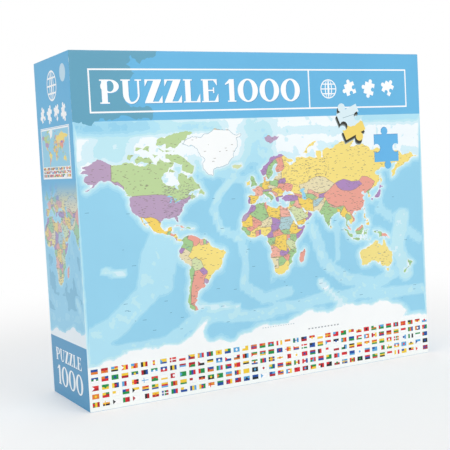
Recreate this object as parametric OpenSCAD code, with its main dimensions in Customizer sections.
// Boxed 1000-piece jigsaw puzzle: a full-depth telescoping lid over a base tray, both of greyboard
// wrapped in printed paper, and a film bag that holds the loose pieces.
// The box stands on a long side wall, with the lid's face towards -Y and the base behind it.
// Origin: centre of the footprint, on the surface that the box stands on. Z is up, and sizes are in mm.

/* [Box] */
// Width of the closed box
box_w = 290; // [200:1:400]
// Height of the closed box as it stands
box_h = 240; // [180:1:320]
// Depth of the closed box, from the lid's face to the base's back
box_d = 78; // [60:1:120]
// Thickness of the greyboard
board_t = 1.8; // [1.2:0.1:3]
// Thickness of the printed wrapping paper
paper_t = 0.15; // [0.1:0.05:0.3]
// Width of the paper turned in over a wall's edge
turn_in = 15; // [8:1:30]
// Play all round between the lid and the base
slip = 0.6; // [0.3:0.1:1.5]
// How far the lid's edge stops short of the base's back
lid_short = 1; // [0.5:0.5:6]
// Gap between the base's edge and the inside of the lid's face
nose_gap = 0.5; // [0.2:0.1:3]

/* [Corner stays] */
// Thickness of the stay tape, which is pressed flush into the board
stay_t = 0.1; // [0.05:0.05:0.2]
// Length of each leg of a stay
stay_leg = 12; // [6:1:20]

/* [Puzzle] */
// Width of the finished puzzle
puzzle_w = 680; // [600:1:740]
// Height of the finished puzzle
puzzle_h = 480; // [400:1:520]
// Thickness of a piece
piece_t = 1.9; // [1.5:0.1:2.3]
// Radius of a knob and of its socket
knob_r = 2.7; // [2.2:0.1:3.3]
// Distance of a knob's centre outside its edge
knob_out = 1.9; // [1.5:0.1:2.2]
// Furthest that a knob is off the middle of its edge
knob_shift = 1.2; // [0:0.1:2]

/* [Bag] */
// Thickness of the bag's film
film_t = 0.2; // [0.1:0.05:0.5]
// Play between the bag and the tray, all round
bag_gap = 1; // [0.5:0.1:3]
// Play round each piece in its layer
piece_gap = 0.7; // [0.3:0.1:2]
// Play between neighbouring layers of pieces
layer_gap = 0.75; // [0.2:0.05:2]
// Height of the heat-sealed fin on top of the bag
fin_h = 14; // [8:1:25]

/* [Hidden] */
// The puzzle is cut into 40 columns and 25 rows
columns = 40;
rows = 25;
cell_w = puzzle_w / columns;
cell_h = puzzle_h / rows;
knob_reach = knob_out + knob_r;
knob_sides = 48;

// Outer sizes of a wrapped tray are [width, depth, height]. The lid opens to +Y and the base to -Y.
shell_t = board_t + paper_t;
wall_t = shell_t + paper_t;
base_inset = wall_t + slip;
lid_front = -box_d / 2;
base_front = lid_front + shell_t + nose_gap;
lid_size = [box_w, box_d - lid_short, box_h];
base_size = [box_w - 2 * base_inset, box_d / 2 - base_front, box_h - 2 * base_inset];

// The pieces lie in layers that face -Y: as many across and as many deep as the tray holds
pitch_x = cell_w + 2 * knob_reach + piece_gap;
pitch_y = piece_t + layer_gap;
pitch_z = cell_h + 2 * knob_reach + piece_gap;
lining = film_t + piece_gap;
room_w = base_size[0] - 2 * (wall_t + bag_gap + lining);
room_d = base_size[1] - shell_t - 2 * (bag_gap + lining);
across = floor(room_w / pitch_x);
layers = floor(room_d / pitch_y);
tiers = ceil(columns * rows / (across * layers));

// The bag stands on the tray's lower wall, and leans on its back
bag_w = base_size[0] - 2 * (wall_t + bag_gap);
bag_d = layers * pitch_y + 2 * lining;
bag_h = tiers * pitch_z + 2 * lining;
bag_back = box_d / 2 - shell_t - bag_gap;
bag_floor = base_inset + wall_t + bag_gap;

function row_name(r) = str("puzzle_row_", r < 10 ? "0" : "", r);

// A block of size [width, depth, height], centred on X and Z, from y = 0 towards +Y
module block(size) {
    translate([-size[0] / 2, 0, -size[2] / 2])
        cube(size);
}

// A tray's own frame has its closed face at y = 0, its open edge at y = size[1], and its middle on
// the Y axis.

// The greyboard of a tray: one blank, scored and folded up into a panel and four walls
module tray_board(size) {
    difference() {
        translate([0, paper_t, 0])
            block([size[0] - 2 * paper_t, size[1] - 2 * paper_t, size[2] - 2 * paper_t]);
        translate([0, shell_t, 0])
            block([size[0] - 2 * shell_t, size[1], size[2] - 2 * shell_t]);
        tray_stays(size);
    }
}

// The stay tape of a tray: one strip folded round each corner between two walls
module tray_stays(size) {
    x = size[0] / 2 - paper_t;
    z = size[2] / 2 - paper_t;
    for (mx = [0, 1], mz = [0, 1])
        mirror([mx, 0, 0])
            mirror([0, 0, mz])
                translate([x, shell_t, z])
                    difference() {
                        translate([-stay_leg, 0, -stay_leg])
                            cube([stay_leg, size[1] - wall_t, stay_leg]);
                        translate([-stay_leg, 0, -stay_leg])
                            cube([stay_leg - stay_t, size[1], stay_leg - stay_t]);
                    }
}

// The paper wrap of a tray: all of the outside, over the wall edges, and turned in behind them
module tray_wrap(size) {
    difference() {
        block(size);
        translate([0, paper_t, 0])
            block([size[0] - 2 * paper_t, size[1] - paper_t - turn_in, size[2] - 2 * paper_t]);
        difference() {
            translate([0, paper_t, 0])
                block([size[0] - 2 * paper_t, size[1] - 2 * paper_t, size[2] - 2 * paper_t]);
            block([size[0] - 2 * shell_t, size[1], size[2] - 2 * shell_t]);
        }
        translate([0, paper_t, 0])
            block([size[0] - 2 * wall_t, size[1], size[2] - 2 * wall_t]);
    }
}

// Puts a tray's frame in the lid's place
module place_lid() {
    translate([0, lid_front, box_h / 2])
        children();
}

// Puts a tray's frame in the base's place, with its closed face at the back
module place_base() {
    translate([0, box_d / 2, box_h / 2])
        mirror([0, 1, 0])
            children();
}

module lid_board() {
    color("#a39a8c") place_lid() tray_board(lid_size);
}

module lid_corner_stays() {
    color("#c9a878") place_lid() tray_stays(lid_size);
}

module lid_wrap() {
    color("#6fb9e8") place_lid() tray_wrap(lid_size);
}

module base_board() {
    color("#a39a8c") place_base() tray_board(base_size);
}

module base_corner_stays() {
    color("#c9a878") place_base() tray_stays(base_size);
}

module base_wrap() {
    color("#8fcdf0") place_base() tray_wrap(base_size);
}

// The film bag: a closed pouch round the layers of pieces, with a flat sealed fin on top
module piece_bag() {
    color("#dfeef5", 0.35)
        translate([0, bag_back - bag_d, bag_floor])
            difference() {
                union() {
                    translate([-bag_w / 2, 0, 0])
                        cube([bag_w, bag_d, bag_h]);
                    translate([-bag_w / 2, bag_d / 2 - film_t, bag_h - film_t])
                        cube([bag_w, 2 * film_t, fin_h + film_t]);
                }
                translate([-bag_w / 2 + film_t, film_t, film_t])
                    cube([bag_w - 2 * film_t, bag_d - 2 * film_t, bag_h - 2 * film_t]);
            }
}

// The cut to the left of column c and the cut below row r: 1 gives the knob to the piece of the
// lower number, -1 gives it to the other, and 0 is the puzzle's straight edge.
function side_cut(c, r) = c < 1 || c >= columns ? 0 : sin(97 * c + 61 * r + 53 * c * r) < 0.2 ? 1 : -1;
function end_cut(c, r) = r < 1 || r >= rows ? 0 : sin(71 * c + 113 * r + 37 * c * r) < 0.2 ? 1 : -1;

// How far a knob is off the middle of its edge
function side_shift(c, r) = knob_shift * sin(131 * c + 83 * r);
function end_shift(c, r) = knob_shift * sin(59 * c + 149 * r);

// The circles of the cuts round a cell. Where a cut's way is this one they are the cell's knobs,
// with the cuts reversed on two sides, and otherwise its sockets.
module cell_circles(c, r, way) {
    for (far = [0, 1]) {
        face = 2 * far - 1;
        if (face * side_cut(c + far, r) == way)
            translate([face * (cell_w / 2 + way * knob_out), side_shift(c + far, r)])
                circle(r = knob_r, $fn = knob_sides);
        if (face * end_cut(c, r + far) == way)
            translate([end_shift(c, r + far), face * (cell_h / 2 + way * knob_out)])
                circle(r = knob_r, $fn = knob_sides);
    }
}

// One die-cut piece, flat on the XY plane, with its cell's middle at the origin
module piece(c, r) {
    linear_extrude(piece_t, center = true)
        difference() {
            union() {
                square([cell_w, cell_h], center = true);
                cell_circles(c, r, 1);
            }
            cell_circles(c, r, -1);
        }
}

// The pieces of one row of the puzzle, each in its place in the bag, with the picture towards -Y
module puzzle_row(r) {
    color("#b9d9a0")
        for (c = [0 : columns - 1]) {
            place = r * columns + c;
            translate([
                (place % across - (across - 1) / 2) * pitch_x,
                bag_back - lining - (floor(place / across) % layers + 0.5) * pitch_y,
                bag_floor + lining + (floor(place / (across * layers)) + 0.5) * pitch_z
            ])
                rotate([90, 0, 0])
                    piece(c, r);
        }
}

lid_board();
lid_corner_stays();
lid_wrap();
base_board();
base_corner_stays();
base_wrap();
piece_bag();
for (r = [1 : rows]) puzzle_row(r - 1);
